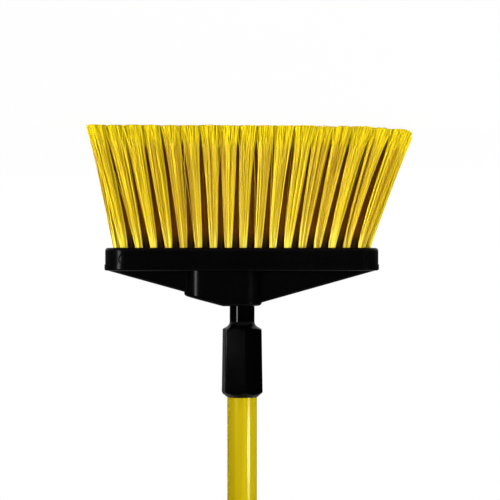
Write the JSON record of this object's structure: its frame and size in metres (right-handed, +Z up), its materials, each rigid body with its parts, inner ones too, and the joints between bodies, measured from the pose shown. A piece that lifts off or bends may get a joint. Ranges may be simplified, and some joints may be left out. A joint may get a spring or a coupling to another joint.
{
  "type": "upright broom",
  "caption": "Upright broom: fanned yellow bristles in a black moulded head with an upright and a leaning threaded socket, and a screw-in coated tube handle with a hexagonal collar.",
  "frame": {"origin": "on the plane of the trimmed bristle tips, under the handle's axis", "axes": "+Z up the handle, X along the head with the leaning socket towards +X, front towards -Y"},
  "size_m": [0.2797, 0.0592, 1.4295],
  "materials": {
    "head_plastic": "satin moulded black",
    "block_plastic": "matt moulded black",
    "ferrule_plastic": "semi-gloss moulded black",
    "cap_plastic": "semi-gloss moulded black",
    "bristle": "drawn polymer filament, yellow",
    "handle_coat": "glossy yellow coat on steel tube",
    "staple_wire": "flat drawn wire",
    "screw_steel": "zinc-plated"
  },
  "bodies": {
    "head": {"head_shell": "head_plastic", "tuft_block": "block_plastic", "tuft_row_1": "bristle", "tuft_row_2": "bristle", "tuft_row_3": "bristle", "tuft_row_4": "bristle", "tuft_row_5": "bristle", "tuft_staples": "staple_wire", "block_screws": "screw_steel"},
    "loop": {"hang_loop": "cap_plastic"},
    "handle": {"threaded_ferrule": "ferrule_plastic", "handle_tube": "handle_coat", "end_plug": "cap_plastic"}
  },
  "joints": [
    {"name": "handle_lift", "type": "slide", "parent": "head", "child": "loop", "axis": [0, 0, 1], "range_m": [0, 0.02286]},
    {"name": "handle_turn", "type": "hinge", "parent": "loop", "child": "handle", "pos_m": [0, 0, 1.3992], "axis": [0, 0, 1], "range_deg": [0, 1620.1]}
  ],
  "couplings": [
    {"joint": "handle_turn", "follows": "handle_lift", "rad_per_m": 1236.8}
  ]
}
